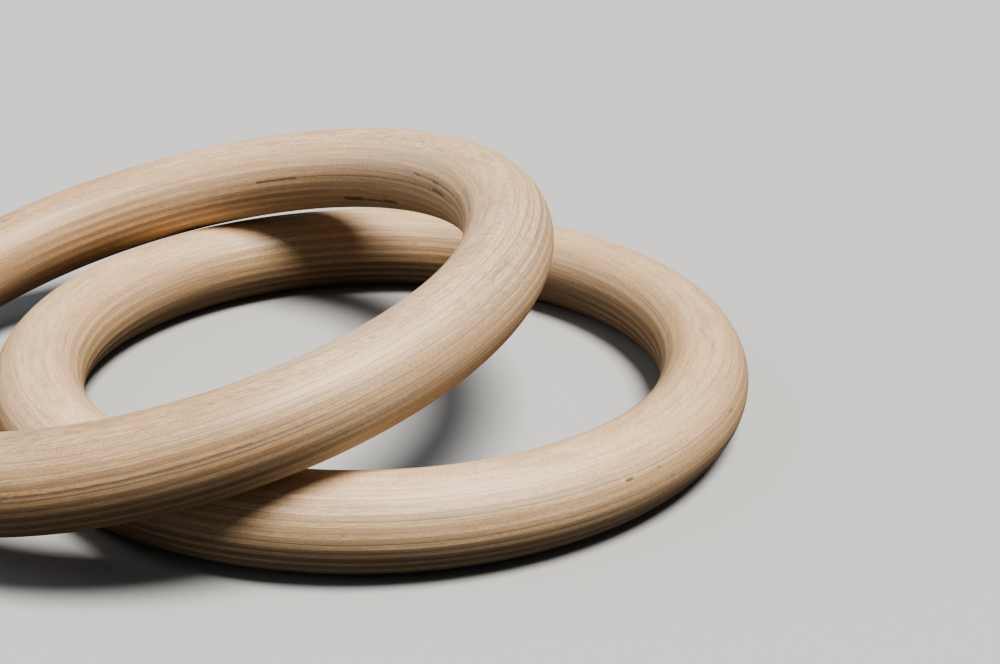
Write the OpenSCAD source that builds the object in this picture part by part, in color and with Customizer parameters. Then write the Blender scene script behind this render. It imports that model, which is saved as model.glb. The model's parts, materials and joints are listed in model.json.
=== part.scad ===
// A pair of turned plywood gymnastics rings, one lying flat and one leaning on it.
// Each ring is a stack of flat birch plies glued face to face and turned to a round section,
// so every ply is an annulus whose edges follow the round section.
// Millimetres, +Z up. The origin is on the floor, under the middle of the pair.

/* [Ring] */
// Diameter of the opening that the hands and the strap go through
inner_d = 180; // [170:1:190]
// Diameter of the round section that is gripped
section_d = 27.5; // [24:0.5:32]

/* [Lamination] */
// Plies glued together in each ring, an odd number as in all balanced plywood
ply_count = 19; // [15:2:23]

/* [Resting place] */
// How far the upper ring's centre lies to the left of the lower ring's
centre_shift = 60; // [50:1:80]
// Gap left where the upper ring lies on the lower one
rest_gap = 0.3; // [0.2:0.05:0.5]

/* [Hidden] */
section_r = section_d / 2;
// Radius of the circle that the centre of the section follows
pitch_r = (inner_d + section_d) / 2;
ply_t = section_d / ply_count;

// Least and greatest lean that the upper ring could rest at, and the halvings that find it
lean_low = 2;
lean_high = 25;
lean_steps = 24;
// The stretch of the upper ring, in degrees from its raised end, where it crosses the lower one
crossing = [40:0.25:140];

// Facets that OpenSCAD draws round a ring and round its section
ring_facets = 180;
section_facets = 72;

// Wood seen along its grain and across its grain, and the paler face veneer
along_grain = "wheat";
across_grain = "burlywood";
face_veneer = "bisque";

// A point on the centre circle of a ring that stands on the floor and leans, its low end to the left.
// t is the angle round the ring from the raised end.
function leaning_point(lean, t) = [
    pitch_r * cos(t) * cos(lean) - centre_shift,
    pitch_r * sin(t),
    section_r + pitch_r * sin(lean) * (1 + cos(t))
];

// Distance from a point to the centre circle of the lower ring
function to_lower_ring(p) = norm([norm([p.x, p.y]) - pitch_r, p.z - section_r]);

// Least distance between the two centre circles at a lean
function nearest(lean) = min([for (t = crossing) to_lower_ring(leaning_point(lean, t))]);

// The lean at which the two sections just clear each other by rest_gap
function resting_lean(low, high, steps) =
    let (middle = (low + high) / 2)
    steps == 0 ? middle
    : nearest(middle) < section_d + rest_gap ? resting_lean(middle, high, steps - 1)
    : resting_lean(low, middle, steps - 1);

lean = resting_lean(lean_low, lean_high, lean_steps);

// Centres of the two rings, with the origin midway between the pair's ends
lower_centre = [(centre_shift - pitch_r * (1 - cos(lean))) / 2, 0, section_r];
upper_centre = [lower_centre.x - centre_shift, 0, section_r + pitch_r * sin(lean)];

function ply_names(ring) = [for (k = [1:ply_count]) str(ring, "_ring_ply_", k < 10 ? "0" : "", k)];

LOWER_NODES = ply_names("lower");
UPPER_NODES = ply_names("upper");

// The slice of the round section that ply k takes, ply 1 being the bottom face veneer
module ply_section(k) {
    intersection() {
        circle(d = section_d, $fn = section_facets);
        translate([-section_d, (k - 1) * ply_t - section_r]) square([2 * section_d, ply_t]);
    }
}

// Ply k as an annulus about the Z axis, with the middle of the section at the height of the origin
module ply(k) {
    rotate_extrude($fn = ring_facets) translate([pitch_r, 0]) ply_section(k);
}

function ply_colour(k) = k == 1 || k == ply_count ? face_veneer : k % 2 == 0 ? along_grain : across_grain;

// One ply of the ring that lies flat on the floor
module lower_ring_ply(k) {
    color(ply_colour(k)) translate(lower_centre) ply(k);
}

// One ply of the ring that leans, low on the left and raised on the right
module upper_ring_ply(k) {
    color(ply_colour(k)) translate(upper_centre) rotate([0, -lean, 0]) ply(k);
}

for (k = [1:ply_count]) {
    lower_ring_ply(k);
    upper_ring_ply(k);
}
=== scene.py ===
import json
import math

import bpy
import numpy as np
from mathutils import Euler, Matrix, Vector


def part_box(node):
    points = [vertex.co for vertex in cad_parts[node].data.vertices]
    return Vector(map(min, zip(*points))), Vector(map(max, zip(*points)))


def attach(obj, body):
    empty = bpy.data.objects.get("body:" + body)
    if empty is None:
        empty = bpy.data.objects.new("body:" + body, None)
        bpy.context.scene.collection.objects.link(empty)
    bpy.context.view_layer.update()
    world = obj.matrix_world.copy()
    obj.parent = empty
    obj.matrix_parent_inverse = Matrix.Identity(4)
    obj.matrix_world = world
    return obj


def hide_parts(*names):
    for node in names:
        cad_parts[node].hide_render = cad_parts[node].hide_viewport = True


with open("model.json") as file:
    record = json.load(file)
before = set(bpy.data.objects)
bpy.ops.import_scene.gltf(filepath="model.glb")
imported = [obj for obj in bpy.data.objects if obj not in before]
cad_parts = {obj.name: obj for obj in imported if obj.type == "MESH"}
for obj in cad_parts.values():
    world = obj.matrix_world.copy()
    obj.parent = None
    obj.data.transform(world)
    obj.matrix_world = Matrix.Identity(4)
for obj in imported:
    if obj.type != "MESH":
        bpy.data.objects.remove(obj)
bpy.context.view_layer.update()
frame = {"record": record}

MM = 0.001

# --- The two rings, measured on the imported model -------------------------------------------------


def body_box(body):
    """Lowest and highest corners of all the plies of one body, in millimetres."""
    boxes = [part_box(node) for node in frame["record"]["behaviour"]["bodies"][body]]
    low = [min(b[0][i] for b in boxes) / MM for i in range(3)]
    high = [max(b[1][i] for b in boxes) / MM for i in range(3)]
    return np.array(low), np.array(high)


LOWER_BOX, UPPER_BOX = body_box("lower_ring"), body_box("upper_ring")
SECTION_D = LOWER_BOX[1][2] - LOWER_BOX[0][2]
SECTION_R = SECTION_D / 2
PITCH_R = (LOWER_BOX[1][0] - LOWER_BOX[0][0] - SECTION_D) / 2
PLIES = len(frame["record"]["behaviour"]["bodies"]["lower_ring"])
PLY_T = SECTION_D / PLIES
# the upper ring stands on its low end, so its height gives its lean
LEAN = math.asin((UPPER_BOX[1][2] - UPPER_BOX[0][2] - SECTION_D) / (2 * PITCH_R))

# --- Shape of a ply --------------------------------------------------------------------------------

STEPS_ROUND = 540          # steps round a ring
EDGE_STEPS = (0.06, 0.2)   # millimetres from a glue line at which a ply's surface has extra points
MID_STEP = 0.7             # greatest spacing of the points between, across a ply
GROOVE_DEPTH = 0.022       # greatest dip of the sanded surface at a glue line
GROOVE_WIDTH = 0.2
LONG_GRAIN_SUNK = 0.018    # long grain sands away more than end grain
WAVE_AMPLITUDE = 0.13      # how far a glue line wanders up and down
WAVE_LENGTHS = (95, 47, 26)
LINE_TURNS = (2, 5, 11, 23)  # how many times round a ring a glue line comes and goes
LINE_SWING = 0.15
LEAST_LINE = 0.04
SHARP_EDGE = math.radians(50)


def wander(ring, boundary, x, y):
    """How far glue line `boundary` of a ring lies above its true height at a place: veneers vary."""
    if boundary in (0, PLIES):
        return 0 * x
    rng = np.random.default_rng(1000 * ring["seed"] + boundary)
    total = 0 * x
    for length in WAVE_LENGTHS:
        angle, phase = rng.uniform(0, 2 * math.pi, 2)
        along = x * math.cos(angle) + y * math.sin(angle)
        total = total + np.sin(2 * math.pi * along / length + phase) * length / sum(WAVE_LENGTHS)
    return WAVE_AMPLITUDE * total


def line_strength(ring, boundary, theta, side):
    """How plainly a glue line shows, from 0 to 1: it comes and goes round the ring."""
    rng = np.random.default_rng(5000 * ring["seed"] + 10 * boundary + side + 1)
    strength = ring["outer_lines" if side > 0 else "inner_lines"] * rng.uniform(0.15, 0.85) + 0 * theta
    for turns in LINE_TURNS:
        strength = strength + LINE_SWING * np.sin(turns * theta + rng.uniform(0, 2 * math.pi))
    return np.clip(strength, LEAST_LINE, 1)


def strip_points(first, last):
    """Share of the way across a strip, and millimetres from its nearer edge, at each row of points."""
    width = SECTION_R * (last - first)
    count = max(3, math.ceil(width / MID_STEP) | 1)
    inner = np.linspace(EDGE_STEPS[-1], width - EDGE_STEPS[-1], count)
    rows = np.concatenate([[0, EDGE_STEPS[0]], inner, [width - EDGE_STEPS[0], width]])
    return rows / width, np.minimum(rows, width - rows)


def strip(ring, ply, theta, first, last):
    """One visible band of a ply's surface between two edges, each (section angle, line strength)."""
    share, from_edge = strip_points(float(np.mean(first[0])), float(np.mean(last[0])))
    phi = first[0][:, None] + (last[0] - first[0])[:, None] * share[None, :]
    line = np.where(share[None, :] < 0.5, first[1][:, None], last[1][:, None])
    from_edge = np.broadcast_to(from_edge[None, :], phi.shape)
    facing = np.abs(np.cos(phi) * np.cos(theta[:, None] - ply_grain(ring, ply)))
    dip = GROOVE_DEPTH * line * np.clip(1 - from_edge / GROOVE_WIDTH, 0, 1) ** 2
    sunk = LONG_GRAIN_SUNK * (1 - facing ** 2) * np.clip(from_edge / GROOVE_WIDTH, 0, 1)
    radius = SECTION_R - dip - sunk
    rho = PITCH_R + radius * np.cos(phi)
    x, y = rho * np.cos(theta[:, None]), rho * np.sin(theta[:, None])
    return np.stack([x, y, radius * np.sin(phi)], -1), from_edge, line


def section_angle(ring, boundary, theta, side):
    """Section angle of a glue line where it meets the surface, on the outer (+1) or inner (-1) side."""
    height = (boundary / PLIES - 0.5) * SECTION_D
    level = math.asin(np.clip(height / SECTION_R, -1, 1))
    rho = PITCH_R + side * SECTION_R * math.cos(level)
    height = height + wander(ring, boundary, rho * np.cos(theta), rho * np.sin(theta))
    up = np.arcsin(np.clip(height / SECTION_R, -1, 1))
    return up if side > 0 else math.pi - up


def ply_grain(ring, ply):
    """Direction of a ply's grain round the ring's axis, in radians: neighbours are crossed."""
    return ring["face_grain"] + (math.pi / 2 if ply % 2 == 0 else 0)


def ply_mesh(ring, ply):
    """A ply as a closed mesh: an outer and an inner band joined by its two flat faces."""
    theta = np.linspace(0, 2 * math.pi, STEPS_ROUND, endpoint=False)

    def edge(boundary, side, turn=0.0):
        return section_angle(ring, boundary, theta, side) + turn, line_strength(ring, boundary, theta, side)

    if ply == PLIES:
        bands = [strip(ring, ply, theta, edge(ply - 1, 1), edge(ply - 1, -1))]
    elif ply == 1:
        bands = [strip(ring, ply, theta, edge(1, -1), edge(1, 1, 2 * math.pi))]
    else:
        bands = [strip(ring, ply, theta, edge(ply - 1, 1), edge(ply, 1)),
                 strip(ring, ply, theta, edge(ply, -1), edge(ply - 1, -1))]
    points, from_edge, line = (np.concatenate([band[i] for band in bands], 1) for i in range(3))
    rows = points.shape[1]
    at = np.arange(STEPS_ROUND)[:, None] * rows + np.arange(rows)[None, :]
    ahead, beside = np.roll(at, -1, 0), np.roll(at, -1, 1)
    quads = np.stack([at, ahead, np.roll(ahead, -1, 1), beside], -1).reshape(-1, 4)
    return points.reshape(-1, 3), {"from_edge": from_edge, "line_strength": line}, quads


def new_mesh(name, points, quads):
    """A mesh from its points, in metres, and the four corners of each face."""
    mesh = bpy.data.meshes.new(name)
    mesh.vertices.add(len(points))
    mesh.vertices.foreach_set("co", np.asarray(points, np.float32).reshape(-1))
    mesh.loops.add(quads.size)
    mesh.loops.foreach_set("vertex_index", quads.reshape(-1).astype(np.int32))
    mesh.polygons.add(len(quads))
    mesh.polygons.foreach_set("loop_start", np.arange(0, quads.size, 4, dtype=np.int32))
    mesh.update(calc_edges=True)
    mesh.validate()
    return mesh


# --- Materials -------------------------------------------------------------------------------------


class Nodes:
    """Short names for the nodes of one node tree."""

    def __init__(self, tree):
        self.tree = tree

    def add(self, kind, inputs=None, **settings):
        node = self.tree.nodes.new("ShaderNode" + kind)
        for key, value in settings.items():
            setattr(node, key, value)
        for key, value in (inputs or {}).items():
            if isinstance(value, bpy.types.NodeSocket):
                self.tree.links.new(value, node.inputs[key])
            else:
                node.inputs[key].default_value = value
        return node

    def math(self, operation, *values, clamp=False):
        node = self.add("Math", dict(enumerate(values)), operation=operation, use_clamp=clamp)
        return node.outputs[0]

    def vector(self, operation, *values):
        node = self.add("VectorMath", dict(enumerate(values)), operation=operation)
        return node.outputs["Value" if operation in ("DOT_PRODUCT", "LENGTH") else "Vector"]

    def combine(self, x, y, z):
        return self.add("CombineXYZ", {"X": x, "Y": y, "Z": z}).outputs[0]

    def ramp(self, value, low, high, to_low=0.0, to_high=1.0):
        """A smooth step: to_low where value is below low, to_high above high."""
        inputs = {"Value": value, "From Min": low, "From Max": high, "To Min": to_low, "To Max": to_high}
        return self.add("MapRange", inputs, interpolation_type="SMOOTHSTEP").outputs[0]

    def noise(self, vector, scale, detail=2.0, roughness=0.5, distortion=0.0):
        inputs = {"Vector": vector, "Scale": scale, "Detail": detail, "Roughness": roughness,
                  "Distortion": distortion}
        return self.add("TexNoise", inputs).outputs["Fac"]

    def mix(self, share, a, b, blend="MIX"):
        node = self.add("Mix", data_type="RGBA", blend_type=blend)
        for socket, value in zip((node.inputs[0], node.inputs[6], node.inputs[7]), (share, a, b)):
            if isinstance(value, bpy.types.NodeSocket):
                self.tree.links.new(value, socket)
            else:
                socket.default_value = value
        return node.outputs[2]


LONG_GRAIN = (0.60, 0.475, 0.355)
END_GRAIN = (0.49, 0.368, 0.258)
END_GRAIN_PAINTED_SHADE = (0.33, 0.243, 0.172)  # painted shade on the end grain: underneath, inside, and on the side away from the painted light
PINK_TINT = np.array([1.0, 0.955, 0.94])
GOLD_TINT = np.array([1.0, 0.95, 0.85])
HEART_TINT = np.array([1.0, 0.975, 0.90])  # the middle plies, against the face veneers
BLOTCH_TINT = (1.03, 0.985, 0.93, 1)
TONE_RANGE = (0.96, 1.04)                  # how far plies differ in brightness
GLUE = (0.25, 0.165, 0.105, 1)
SCAR = (0.17, 0.11, 0.065, 1)
HATCH = (0.31, 0.255, 0.20, 1)
HATCH_SHARE = 0.7
# Painted highlight: the colour of pale streaks where ridges would catch the light.
HIGHLIGHT_COLOUR = (0.67, 0.555, 0.44, 1)

# Sizes in millimetres of the features of the wood, along the grain, across it and up
LAYER_SIZE = (48, 26, 0.50)
FINE_LAYER_SIZE = (18, 10, 0.20)
FIBRE_SIZE = (5, 0.55, 0.42)
PORE_SIZE = (2.2, 0.34, 0.32)
BLOTCH_SIZE = (42, 20, 7)
# The same round the ring and round the section, for the flaws and painted highlights
DASH_SIZE = (3.4, 0.50, 1)
RAGGED_SIZE = (2.8, 0.35, 1)
SEED_SHIFT = (37.1, 53.7, 11.3)  # how far one step of a ply's seed moves its wood
FLAW_MARGIN = 0.8                # how far past a ply's faces a flaw or painted highlight on it may reach

# Flaws in the birch. Each scar runs between two places, as (degrees round the ring, degrees round the
# section) from the outer side over the top, and has a half width in millimetres and a darkness.
SCARS = {
    "lower_ring": [
        ((-59.3, 23.8), (-58.5, 23.4), 0.35, 0.92),
        ((-53.4, 22.5), (-53.0, 22.3), 0.25, 0.91),
        ((-32.4, 22.6), (-31.2, 22.0), 0.3, 0.65),
        ((-50.9, 5.4), (-50.2, 5.0), 0.25, 0.65),
        ((-20.0, 76.0), (-11.0, 98.5), 0.4, 0.26),
    ],
    "upper_ring": [
        ((8.0, 165.5), (67.0, 168.0), 0.16, 0.72),
        ((62.0, 168.1), (71.5, 168.4), 0.32, 1.0),
        ((14.0, 163.4), (19.0, 163.0), 0.5, 0.91),
        ((-4.0, 153.0), (27.0, 151.6), 0.22, 0.65),
        ((17.0, 153.0), (19.5, 153.0), 0.4, 0.78),
        ((25.5, 152.0), (27.5, 151.6), 0.35, 0.72),
        ((-8.0, 136.0), (4.0, 134.0), 0.3, 0.45),
        ((-37.0, 87.5), (-11.5, 86.5), 0.14, 0.39),
        ((-62.0, 79.0), (-20.0, 78.0), 0.16, 0.3),
        ((-58.0, 97.0), (-28.0, 96.0), 0.16, 0.25),
        ((-50.0, 104.0), (-10.0, 102.0), 0.14, 0.25),
        ((-30.0, 70.0), (5.0, 69.0), 0.2, 0.35),
        ((36.8, 207.6), (40.0, 207.0), 0.75, 0.9),
        ((41.0, 208.4), (50.5, 207.8), 0.5, 0.8),
        ((47.0, 206.6), (51.2, 207.2), 0.8, 0.9),
        ((-21.0, 31.5), (-3.0, 30.5), 0.22, 0.52),
        ((-35.5, 46.0), (-31.0, 43.0), 0.6, 0.39),
        ((-112.0, 15.5), (-80.0, 15.2), 0.24, 0.85),
        ((-80.0, 15.2), (-70.0, 15.1), 0.18, 0.5),
    ],
}
# Painted highlights: pale streaks where ridges would catch the light, written as the scars are
PAINTED_HIGHLIGHT_STREAKS = {
    "lower_ring": [
        ((-96.0, 50.0), (-62.0, 49.0), 0.2, 0.4),
        ((-84.0, 27.0), (-48.0, 26.5), 0.2, 0.4),
    ],
    "upper_ring": [
        ((-112.0, 12.0), (-66.0, 11.6), 0.18, 0.36),
        ((-98.0, 41.0), (-66.0, 40.5), 0.16, 0.4),
        ((-36.0, 24.0), (14.0, 22.5), 0.2, 0.65),
        ((-46.0, 36.0), (6.0, 34.5), 0.16, 0.5),
        ((-24.0, 47.0), (18.0, 46.0), 0.16, 0.4),
    ],
}
# Patches of torn grain, as the same two angles at two corners, and a strength
HATCHED = {
    "lower_ring": [((-26, 78), (-16, 92), 0.35)],
    "upper_ring": [((-54, 2), (-6, 64), 1.0), ((-20, 126), (12, 150), 0.5), ((-100, 62), (-20, 96), 0.25)],
}


def place_mm(n):
    """Place on the ring in millimetres, from its centre."""
    return n.vector("MULTIPLY", n.add("TexCoord").outputs["Object"], (1 / MM,) * 3)


def wood_coordinates(n, grain, seed):
    """Object position in millimetres as (along the grain, across it, up), moved by the ply's seed."""
    place = place_mm(n)
    along = n.vector("DOT_PRODUCT", place, (math.cos(grain), math.sin(grain), 0))
    across = n.vector("DOT_PRODUCT", place, (-math.sin(grain), math.cos(grain), 0))
    up = n.vector("DOT_PRODUCT", place, (0, 0, 1))
    return [n.math("ADD", axis, shift * seed) for axis, shift in zip((along, across, up), SEED_SHIFT)]


def ring_angles(n):
    """Degrees round the ring, and degrees round its section from the outer side over the top."""
    x, y, z = n.add("SeparateXYZ", {"Vector": place_mm(n)}).outputs
    rho = n.vector("LENGTH", n.combine(x, y, 0.0))
    theta = n.math("DEGREES", n.math("ARCTAN2", y, x))
    phi = n.math("DEGREES", n.math("ARCTAN2", z, n.math("SUBTRACT", rho, PITCH_R)))
    return theta, n.math("WRAP", phi, 270.0, -90.0)


def on_ply(ply, first_phi, last_phi):
    """Whether a flaw or painted highlight between two section angles touches a ply."""
    heights = [SECTION_R * math.sin(math.radians(p)) for p in np.linspace(first_phi, last_phi, 9)]
    low, high = (ply - 1) * PLY_T - SECTION_R, ply * PLY_T - SECTION_R
    return min(heights) < high + FLAW_MARGIN and max(heights) > low - FLAW_MARGIN


def scar_or_painted_highlight(n, angles, rough, start, end, half_width, darkness):
    """Share of a scar's or painted highlight streak's colour: full on a line between two places, with
    ragged edges.
    """
    theta, phi = angles
    middle = n.add("MapRange", {"Value": theta, "From Min": start[0], "From Max": end[0],
                                "To Min": start[1], "To Max": end[1]}).outputs[0]
    across = n.math("MULTIPLY", n.math("SUBTRACT", phi, middle), math.radians(SECTION_R))
    beyond = n.math("MAXIMUM", n.math("SUBTRACT", start[0], theta), n.math("SUBTRACT", theta, end[0]))
    beyond = n.math("MULTIPLY", n.math("MAXIMUM", beyond, 0.0), math.radians(PITCH_R))
    distance = n.vector("LENGTH", n.combine(across, beyond, 0.0))
    distance = n.math("ADD", distance, n.ramp(rough, 0.3, 0.7, -0.6 * half_width, 0.6 * half_width))
    return n.ramp(distance, 0.2 * half_width, 2.0 * half_width, darkness, 0.0)


def hatched(n, angles, first, last, strength):
    """Share of torn grain: full inside a patch, fading out at its edges."""
    inside = strength
    for angle, low, high in zip(angles, first, last):
        soft = 0.25 * (high - low)
        inside = n.math("MULTIPLY", inside, n.ramp(angle, low, low + soft))
        inside = n.math("MULTIPLY", inside, n.ramp(angle, high - soft, high, 1.0, 0.0))
    return inside


def stretched(n, axes, sizes, detail, roughness=0.55):
    """Noise whose features have the given sizes in millimetres along each axis."""
    scaled = [n.math("DIVIDE", axis, size) for axis, size in zip(axes, sizes)]
    return n.noise(n.combine(*scaled), 1.0, detail, roughness)


def with_flaws_and_painted_highlights(n, ring, ply, colour):
    """The colour with the scars, painted highlight streaks and torn patches that lie on this ply."""
    scars, highlight_streaks, patches = (
        [mark for mark in marks[ring["name"]] if on_ply(ply, mark[0][1], mark[1][1])]
        for marks in (SCARS, PAINTED_HIGHLIGHT_STREAKS, HATCHED))
    if not scars + highlight_streaks + patches:
        return colour
    angles = ring_angles(n)
    around = n.math("MULTIPLY", angles[0], math.radians(PITCH_R))
    over = n.math("MULTIPLY", angles[1], math.radians(SECTION_R))
    for patch in patches:
        dashes = stretched(n, (around, over, 0.0), DASH_SIZE, 2.0)
        share = n.math("MULTIPLY", n.ramp(dashes, 0.48, 0.60), hatched(n, angles, *patch))
        colour = n.mix(n.math("MULTIPLY", share, HATCH_SHARE), colour, HATCH)
    rough = stretched(n, (around, over, 0.0), RAGGED_SIZE, 2.0)
    # Painted highlights: pale streaks where ridges would catch the light.
    for each in highlight_streaks:
        colour = n.mix(scar_or_painted_highlight(n, angles, rough, *each), colour, HIGHLIGHT_COLOUR)
    for each in scars:
        colour = n.mix(scar_or_painted_highlight(n, angles, rough, *each), colour, SCAR)
    return colour


def painted_shade_share(n, ring, normal, painted_light_share):
    """How much painted shade darkens the end grain, from 0 to 1: underneath, inside and on the ring's side
    away from the painted light.
    """
    # Painted shade: the end grain is darkened where the surface faces down, inside the ring, and on steep
    # sides away from the painted light.
    below = n.ramp(n.vector("DOT_PRODUCT", normal, (0, 0, -1)), -0.02, 0.12, 0.0, ring["painted_shade_below"])
    rho = n.vector("LENGTH", n.vector("MULTIPLY", place_mm(n), (1, 1, 0)))
    inner, outer = PITCH_R - 0.8 * SECTION_R, PITCH_R - 0.35 * SECTION_R
    inside = n.ramp(rho, inner, outer, ring["painted_shade_inside"], 0.0)
    steep = n.ramp(n.vector("DOT_PRODUCT", normal, (0, 0, 1)), 0.2, 0.8, ring["painted_shade_far_side"], 0.0)
    far_side_steep = n.math("MULTIPLY", steep, n.math("SUBTRACT", 1.0, painted_light_share))
    return n.math("MAXIMUM", n.math("MAXIMUM", below, inside), far_side_steep)


def ply_shades(ply, rng):
    """A ply's own colours for its long grain, its end grain and its end grain with painted shade."""
    tone, gold = rng.uniform(*TONE_RANGE), rng.uniform(0, 1)
    depth = 1 - abs(2 * ply - PLIES - 1) / (PLIES - 1)
    tint = tone * (gold * GOLD_TINT + (1 - gold) * PINK_TINT) * (1 - depth * (1 - HEART_TINT))
    shades = (LONG_GRAIN, END_GRAIN, END_GRAIN_PAINTED_SHADE)
    return [(*(float(c * t) for c, t in zip(shade, tint)), 1) for shade in shades]


def glue_share(n, fibre):
    """Share of the glue's colour: it is strongest at a ply's edges, which the fibres make ragged."""
    from_edge = n.add("Attribute", attribute_name="from_edge").outputs["Fac"]
    line = n.add("Attribute", attribute_name="line_strength").outputs["Fac"]
    ragged = n.math("MULTIPLY_ADD", fibre, 0.10, from_edge)
    return n.math("MULTIPLY", n.ramp(ragged, 0.08, 0.26, 0.75, 0.0), line)


def ply_material(ring, ply):
    """Turned birch ply: pale where its grain lies in the surface, darker where it is cut across."""
    material = bpy.data.materials.new(f"birch_{ring['name']}_{ply:02d}")
    material.use_nodes = True
    tree = material.node_tree
    n = Nodes(tree)
    shader = tree.nodes["Principled BSDF"]
    rng = np.random.default_rng(77 * ring["seed"] + ply)
    grain, seed = ply_grain(ring, ply), float(ply + 30 * ring["seed"])
    axes = wood_coordinates(n, grain, seed)

    normal = n.add("TexCoord").outputs["Normal"]
    facing = n.vector("DOT_PRODUCT", normal, (math.cos(grain), math.sin(grain), 0))
    end_grain = n.ramp(n.math("ABSOLUTE", facing), 0.35, 1.0)
    # Painted light: a pool of light painted into the colour, paler towards one side of the ring and darker
    # away from it.
    painted_light_side = (math.cos(ring["painted_light_side"]) / PITCH_R, math.sin(ring["painted_light_side"]) / PITCH_R, 0)
    painted_light_share = n.ramp(n.vector("DOT_PRODUCT", place_mm(n), painted_light_side), *ring["painted_light_edge"])
    end_grain_painted_shade = painted_shade_share(n, ring, normal, painted_light_share)

    layer = stretched(n, axes, LAYER_SIZE, 3.0, 0.6)
    fine_layer = stretched(n, axes, FINE_LAYER_SIZE, 2.0)
    fibre = stretched(n, axes, FIBRE_SIZE, 3.0, 0.65)
    pore = stretched(n, axes, PORE_SIZE, 1.0, 0.5)
    blotch = stretched(n, axes, BLOTCH_SIZE, 2.0, 0.5)

    long_colour, end_colour, painted_shade_end_colour = ply_shades(ply, rng)
    # The end grain takes a darker colour where painted shade falls on it.
    colour = n.mix(end_grain, long_colour, n.mix(end_grain_painted_shade, end_colour, painted_shade_end_colour))
    blotched = n.mix(1.0, colour, BLOTCH_TINT, "MULTIPLY")
    colour = n.mix(n.ramp(blotch, 0.3, 0.7), colour, blotched)

    texture = ring["face_texture"] if ply in (1, PLIES) else 1.0
    fine_shade = n.ramp(fine_layer, 0.3, 0.7, -0.11, 0.09)
    shade = n.math("ADD", n.ramp(layer, 0.3, 0.7, 0.90, 1.07), fine_shade)
    shade = n.math("ADD", shade, n.ramp(fibre, 0.3, 0.7, -0.15 * texture, 0.13 * texture))
    shade = n.math("SUBTRACT", shade, n.ramp(pore, 0.58, 0.76, 0.0, 0.24 * texture))
    colour = n.mix(1.0, colour, n.combine(shade, shade, shade), "MULTIPLY")
    # Painted light and shade: the colour is tinted paler where the painted pool of light is and darker,
    # more golden, away from it.
    painted_light_and_shade = n.mix(painted_light_share, ring["painted_shade_tint"], ring["painted_light_tint"])
    colour = n.mix(1.0, colour, painted_light_and_shade, "MULTIPLY")
    colour = n.mix(glue_share(n, fibre), colour, GLUE)
    tree.links.new(with_flaws_and_painted_highlights(n, ring, ply, colour), shader.inputs["Base Color"])

    rough = n.math("ADD", n.ramp(end_grain, 0, 1, 0.50, 0.60), n.ramp(fibre, 0.3, 0.7, -0.04, 0.06))
    tree.links.new(rough, shader.inputs["Roughness"])
    height = n.math("ADD", n.math("MULTIPLY", fibre, 0.6), n.math("MULTIPLY", pore, -0.5))
    bump = n.add("Bump", {"Height": height, "Strength": 0.3, "Distance": 0.04 * MM})
    tree.links.new(bump.outputs[0], shader.inputs["Normal"])
    shader.inputs["IOR"].default_value = 1.5
    shader.inputs["Specular IOR Level"].default_value = 0.75
    return material


# --- Rings -----------------------------------------------------------------------------------------


def make_ply(ring, ply):
    """One ply of a ring in its place, in front of the CAD node of the same name."""
    node = f"{ring['name']}_ply_{ply:02d}"
    points, fields, quads = ply_mesh(ring, ply)
    mesh = new_mesh(f"turned_{node}", points * MM, quads)
    for name, values in fields.items():
        attribute = mesh.attributes.new(name, "FLOAT", "POINT")
        attribute.data.foreach_set("value", values.reshape(-1).astype(np.float32))
    mesh.polygons.foreach_set("use_smooth", np.ones(len(quads), bool))
    mesh.set_sharp_from_angle(angle=SHARP_EDGE)
    mesh.materials.append(ply_material(ring, ply))
    piece = bpy.data.objects.new(f"turned_{node}", mesh)
    bpy.context.scene.collection.objects.link(piece)
    piece.matrix_world = ring["place"]
    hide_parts(node)
    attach(piece, ring["name"])
    return piece


def ring_place(box, lean):
    """A ring's place: the middle of its box, raised at its +X end by the lean."""
    centre = (box[0] + box[1]) / 2 * MM
    return Matrix.Translation(Vector(centre)) @ Matrix.Rotation(-lean, 4, "Y")


# Each ring's wood. Angles are round the ring from its +X end. The shade keys say how much painted shade
# darkens
# the end grain in each place, from 0 to 1: underneath, inside, and on steep sides away from the painted
# light. Each ring has a pool of light painted into its colour, paler towards one side and darker away from
# it: the edge key says where that starts and ends, as shares of the pitch radius along that direction.
RINGS = [
    {
        "name": "lower_ring",
        "seed": 1,
        "place": ring_place(LOWER_BOX, 0),
        "face_grain": math.radians(86),
        "face_texture": 0.7,
        "outer_lines": 1.4,
        "inner_lines": 0.7,
        "painted_shade_below": 1.0,
        "painted_shade_inside": 0.4,
        "painted_shade_far_side": 0.0,
        "painted_light_side": math.radians(-105),
        "painted_light_edge": (0.1, 0.9),
        "painted_light_tint": (1.04, 1.04, 1.04, 1),
        "painted_shade_tint": (0.94, 0.91, 0.87, 1),
    },
    {
        "name": "upper_ring",
        "seed": 2,
        "place": ring_place(UPPER_BOX, LEAN),
        "face_grain": math.radians(-4),
        "face_texture": 1.4,
        "outer_lines": 1.9,
        "inner_lines": 0.7,
        "painted_shade_below": 0.3,
        "painted_shade_inside": 0.0,
        "painted_shade_far_side": 0.7,
        "painted_light_side": math.radians(12),
        "painted_light_edge": (-0.12, 0.32),
        "painted_light_tint": (1.04, 1.03, 1.02, 1),
        "painted_shade_tint": (0.84, 0.785, 0.71, 1),
    },
]

# --- Floor, light and camera -----------------------------------------------------------------------


FLOOR_SIZE = 20.0                      # metres from the middle to each side
FLOOR_COLOUR = (0.40, 0.415, 0.43, 1)
FLOOR_BOUNCE = (0.03, 0.03, 0.03, 1)   # what the rings get back from it: little, so undersides stay dark
FLOOR_ROUGHNESS = 0.8
WORLD_COLOUR = (0.90, 0.95, 1.0, 1)
WORLD_STRENGTH = 0.10

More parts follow.
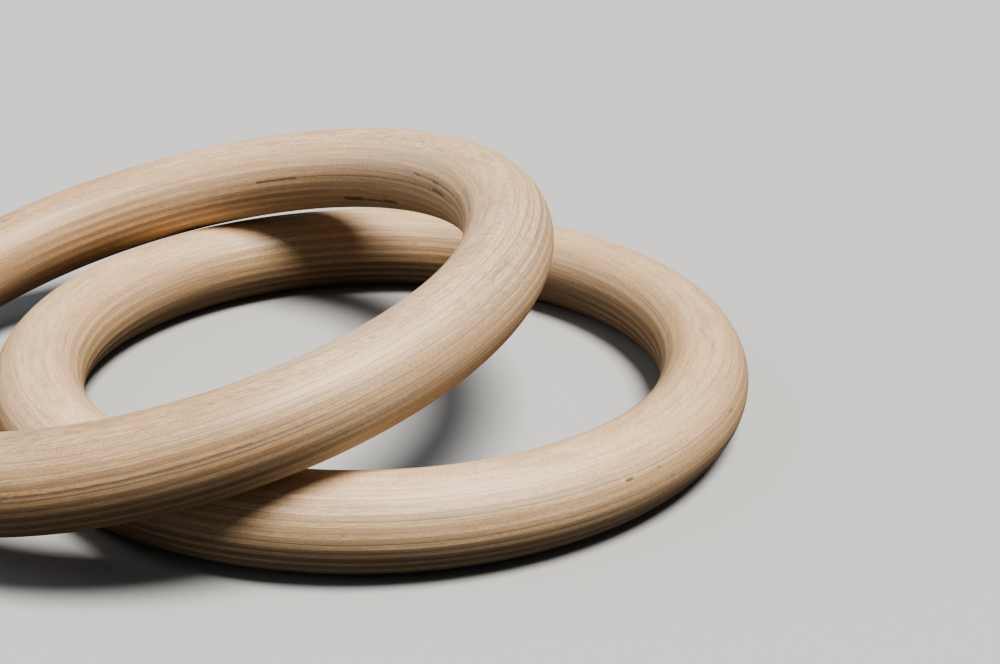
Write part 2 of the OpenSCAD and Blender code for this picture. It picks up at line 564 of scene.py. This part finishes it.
CAMERA_LENS = 66.1
CAMERA_SENSOR = 36
CAMERA_AIM = (37.0, -19.5, 16.2)       # millimetres from the lower ring's centre
CAMERA_AZIMUTH, CAMERA_ELEVATION = -9.07, 23.3
CAMERA_ROLL = 0.43
CAMERA_DISTANCE = 0.5627


def make_floor():
    """A plain pale floor at Z = 0."""
    corners = FLOOR_SIZE * np.array([[-1, -1, 0], [1, -1, 0], [1, 1, 0], [-1, 1, 0]])
    mesh = new_mesh("floor", corners, np.array([[0, 1, 2, 3]]))
    material = bpy.data.materials.new("pale_floor")
    material.use_nodes = True
    n = Nodes(material.node_tree)
    shader = material.node_tree.nodes["Principled BSDF"]
    seen = n.add("LightPath").outputs["Is Camera Ray"]
    material.node_tree.links.new(n.mix(seen, FLOOR_BOUNCE, FLOOR_COLOUR), shader.inputs["Base Color"])
    shader.inputs["Roughness"].default_value = FLOOR_ROUGHNESS
    mesh.materials.append(material)
    floor = bpy.data.objects.new("floor", mesh)
    bpy.context.scene.collection.objects.link(floor)


def direction(azimuth, elevation):
    """From the object towards a place at that azimuth, counted from -Y towards +X, and elevation."""
    a, e = math.radians(azimuth), math.radians(elevation)
    return Vector((math.cos(e) * math.sin(a), -math.cos(e) * math.cos(a), math.sin(e)))


def make_light(name, azimuth, elevation, width, strength, colour):
    """A round soft light a long way off, its width the angle it fills as seen from the rings."""
    lamp = bpy.data.lights.new(name, "SUN")
    lamp.angle, lamp.energy, lamp.color = math.radians(width), strength, colour
    light = bpy.data.objects.new(name, lamp)
    bpy.context.scene.collection.objects.link(light)
    towards = direction(azimuth, elevation)
    light.location = towards
    light.rotation_euler = towards.to_track_quat("Z", "Y").to_euler()


def make_world():
    """A dim, even sky that fills the shadows."""
    world = bpy.data.worlds.new("studio")
    bpy.context.scene.world = world
    world.use_nodes = True
    sky = world.node_tree.nodes["Background"]
    sky.inputs["Color"].default_value = WORLD_COLOUR
    sky.inputs["Strength"].default_value = WORLD_STRENGTH


def make_camera():
    """The photograph's view: a long lens from the front, a little to the left, looking down."""
    centre = (LOWER_BOX[0] + LOWER_BOX[1]) / 2
    aim = Vector(centre + np.array(CAMERA_AIM)) * MM
    camera = bpy.data.objects.new("camera", bpy.data.cameras.new("camera"))
    bpy.context.scene.collection.objects.link(camera)
    camera.data.lens, camera.data.sensor_width = CAMERA_LENS, CAMERA_SENSOR
    towards = direction(CAMERA_AZIMUTH, CAMERA_ELEVATION)
    camera.location = aim + towards * CAMERA_DISTANCE
    roll = Euler((0, 0, math.radians(CAMERA_ROLL))).to_matrix().to_4x4()
    turned = towards.to_track_quat("Z", "Y").to_matrix().to_4x4() @ roll
    camera.matrix_world = Matrix.Translation(camera.location) @ turned
    bpy.context.scene.camera = camera


bpy.context.scene.view_settings.look = "AgX - Medium High Contrast"
make_camera()
for each in RINGS:
    for number in range(1, PLIES + 1):
        make_ply(each, number)
make_floor()
make_world()
make_light("key", azimuth=50, elevation=71, width=26, strength=6.35, colour=(1.0, 0.935, 0.845))
make_light("fill", azimuth=-100, elevation=30, width=53, strength=0.95, colour=(0.95, 0.97, 1.0))
